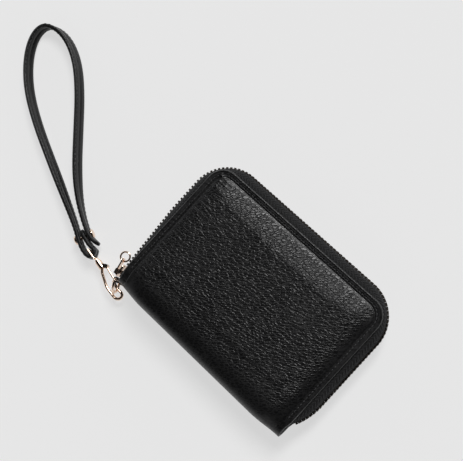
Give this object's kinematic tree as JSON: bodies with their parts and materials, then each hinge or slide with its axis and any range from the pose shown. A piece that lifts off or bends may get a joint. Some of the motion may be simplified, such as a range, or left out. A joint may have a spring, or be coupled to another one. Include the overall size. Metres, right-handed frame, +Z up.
{
  "type": "wristlet wallet",
  "caption": "Zip-around wristlet wallet: padded covers that open like a book, card slots, a coin pouch, and a loop strap on a swivel clasp",
  "frame": {"origin": "centre of the flat face of the back cover that the closed wallet lies on", "axes": "+Z up through the thickness, +Y along the spine towards the strap, +X from the spine to the long zip side"},
  "size_m": [0.1174, 0.3121, 0.024],
  "materials": {
    "cover_leather": "fine pebbled grain, soft sheen",
    "strap_leather": "smooth, painted edges",
    "slot_leather": "smooth thin leather",
    "foam": "open foam",
    "board": "plain card",
    "lining": "fine woven twill",
    "zip_tape": "tight herringbone weave",
    "zip_teeth": "dark satin",
    "gold_metal": "polished pale rose gold plate"
  },
  "bodies": {
    "back": {"back_cover_leather": "cover_leather", "back_foam_pad": "foam", "back_board": "board", "back_lining": "lining", "back_zip_tape": "zip_tape", "back_zip_teeth": "zip_teeth", "back_card_slot_1": "slot_leather", "back_card_slot_2": "slot_leather", "back_card_slot_3": "slot_leather", "back_card_slot_4": "slot_leather", "zip_stop_closed_end": "zip_teeth", "zip_stop_open_end": "zip_teeth"},
    "spine": {"spine_leather": "cover_leather", "spine_lining": "lining", "d_ring_tab": "strap_leather", "pouch_wall_back": "lining", "pouch_wall_front": "lining", "pouch_binding": "lining", "pouch_zip_tape": "zip_tape", "pouch_zip_teeth": "zip_teeth"},
    "front": {"front_cover_leather": "cover_leather", "front_foam_pad": "foam", "front_board": "board", "front_lining": "lining", "front_zip_tape": "zip_tape", "front_zip_teeth": "zip_teeth", "front_card_slot_1": "slot_leather", "front_card_slot_2": "slot_leather", "front_card_slot_3": "slot_leather", "front_card_slot_4": "slot_leather"},
    "zip_slider": {"zip_slider_outer": "gold_metal", "zip_slider_inner": "gold_metal"},
    "zip_pull": {"zip_pull_bar": "gold_metal"},
    "pull_ring": {"zip_pull_ring": "gold_metal"},
    "d_ring": {"d_ring": "gold_metal"},
    "clasp_hook": {"clasp_hook": "gold_metal"},
    "clasp_gate": {"clasp_gate": "gold_metal"},
    "clasp_eye": {"clasp_eye": "gold_metal"},
    "strap": {"wrist_strap": "strap_leather", "strap_rivet_shaft": "gold_metal", "strap_rivet_front": "gold_metal", "strap_rivet_back": "gold_metal"},
    "pouch_slider": {"pouch_zip_slider": "gold_metal"},
    "pouch_pull": {"pouch_zip_pull": "gold_metal"}
  },
  "joints": [
    {"name": "spine_fold", "type": "hinge", "parent": "back", "child": "spine", "pos_m": [-0.0489, 0, 0.0029], "axis": [0, -1, 0], "range_deg": [0, 90]},
    {"name": "cover_fold", "type": "hinge", "parent": "spine", "child": "front", "pos_m": [-0.0489, 0, 0.0211], "axis": [0, -1, 0], "range_deg": [0, 90]},
    {"name": "zip_slide", "type": "slide", "parent": "back", "child": "zip_slider", "axis": [0.9979, 0.0647, 0], "range_m": [0, 0.042]},
    {"name": "pull_swing", "type": "hinge", "parent": "zip_slider", "child": "zip_pull", "pos_m": [-0.0478, 0.0755, 0.012], "axis": [0, 0, 1], "range_deg": [-2, 60]},
    {"name": "pull_ring_swing", "type": "hinge", "parent": "zip_pull", "child": "pull_ring", "pos_m": [-0.0399, 0.07729, 0.012], "axis": [-0.2215, 0.9751, 0], "range_deg": [-50, 50]},
    {"name": "d_ring_swing", "type": "hinge", "parent": "spine", "child": "d_ring", "pos_m": [-0.0516, 0.0728, 0.0075], "axis": [0, 0, 1], "range_deg": [-20, 3]},
    {"name": "hook_swing", "type": "hinge", "parent": "d_ring", "child": "clasp_hook", "pos_m": [-0.0587, 0.069, 0.0051], "axis": [0, 0, 1], "range_deg": [-2, 28]},
    {"name": "gate_open", "type": "hinge", "parent": "clasp_hook", "child": "clasp_gate", "pos_m": [-0.0504, 0.0852, 0.0051], "axis": [0, 0, -1], "range_deg": [0, 18], "stiffness_Nm_per_rad": 0.01, "springref_deg": -11.46},
    {"name": "eye_swivel", "type": "hinge", "parent": "clasp_hook", "child": "clasp_eye", "pos_m": [-0.0507, 0.1001, 0.0051], "axis": [0.165, 0.9863, 0], "continuous": true},
    {"name": "strap_swing", "type": "hinge", "parent": "clasp_eye", "child": "strap", "pos_m": [-0.0507, 0.1001, 0.0051], "axis": [0, 0, 1], "range_deg": [-25, 25]},
    {"name": "pouch_slide", "type": "slide", "parent": "spine", "child": "pouch_slider", "axis": [0, -1, 0], "range_m": [0, 0.09]},
    {"name": "pouch_pull_swing", "type": "hinge", "parent": "pouch_slider", "child": "pouch_pull", "pos_m": [0.0401, 0.048, 0.012], "axis": [0, 1, 0], "range_deg": [-12, 12]}
  ]
}
